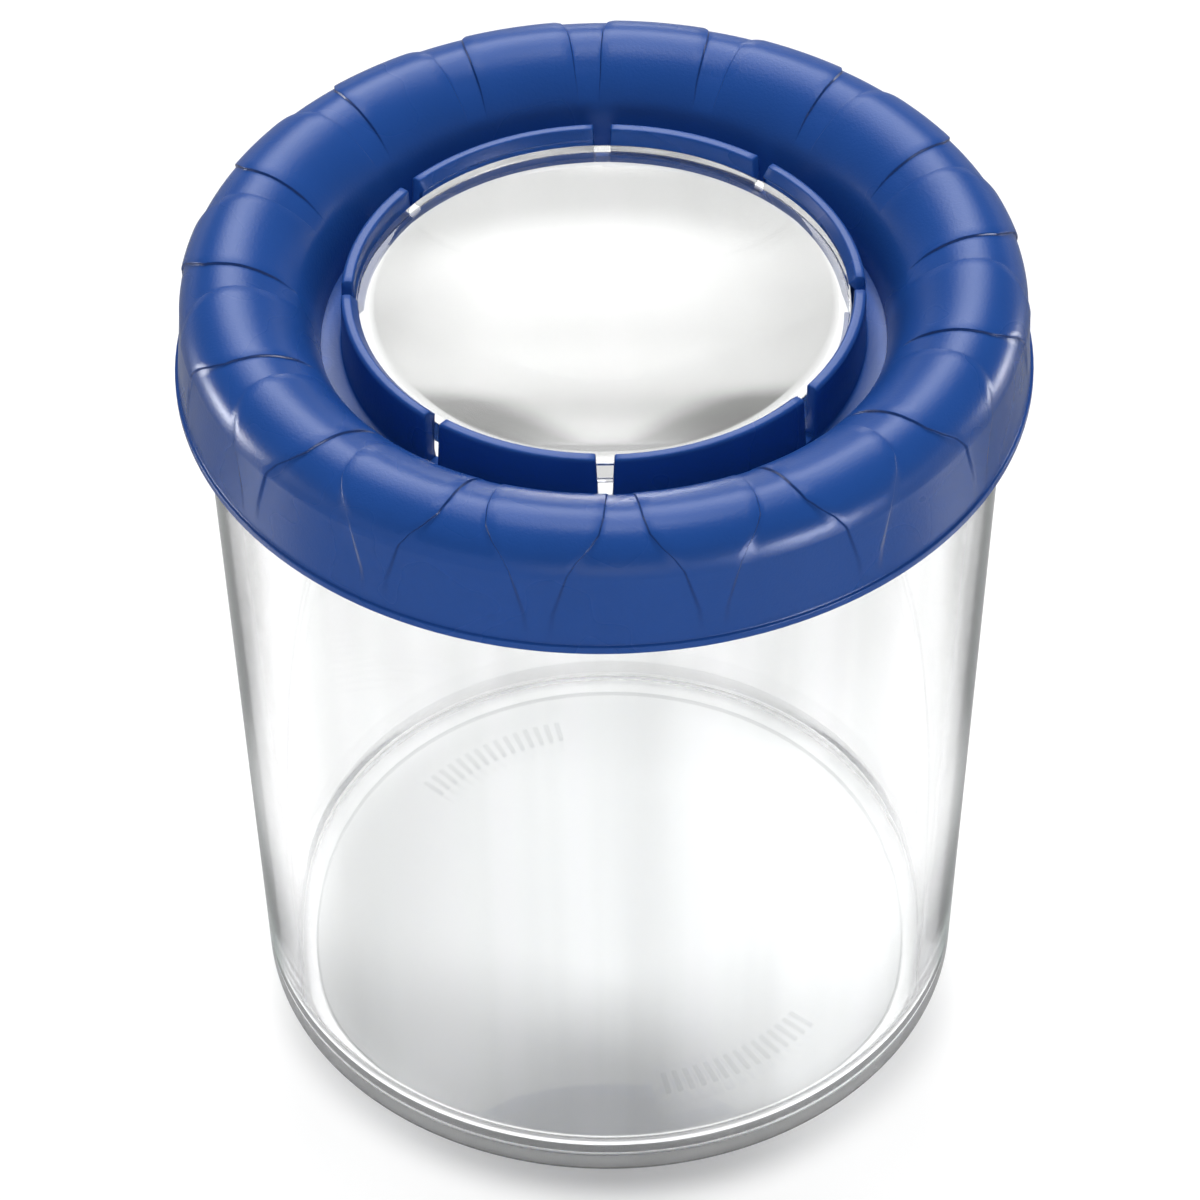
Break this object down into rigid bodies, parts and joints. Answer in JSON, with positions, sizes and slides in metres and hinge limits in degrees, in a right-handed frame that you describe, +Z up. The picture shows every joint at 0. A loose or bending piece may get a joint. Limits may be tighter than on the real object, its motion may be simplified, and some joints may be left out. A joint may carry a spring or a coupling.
{
  "type": "bug catcher jar",
  "caption": "Clear tapered collecting jar with a ribbed ring lid that lifts off and turns, and a round magnifying lens snapped into the lid.",
  "frame": {"origin": "middle of the foot's lowest circle, on the surface that the jar stands on", "axes": "+Z up along the jar's axis, -Y towards the viewer of the picture, +X to the right"},
  "size_m": [0.066, 0.066, 0.072],
  "materials": {
    "clear_plastic": "clear, polished, injection moulded",
    "blue_plastic": "satin gloss, injection moulded",
    "lens_plastic": "clear, polished to an optical surface"
  },
  "bodies": {
    "cup": {"cup": "clear_plastic"},
    "lens": {"lens": "lens_plastic"},
    "lid": {"lid": "blue_plastic"}
  },
  "joints": [
    {"name": "lid_lift", "type": "slide", "parent": "cup", "child": "lens", "axis": [0, 0, 1], "range_m": [0, 0.03]},
    {"name": "lid_turn", "type": "hinge", "parent": "lens", "child": "lid", "pos_m": [0, 0, 0.0681], "axis": [0, 0, 1], "continuous": true}
  ]
}
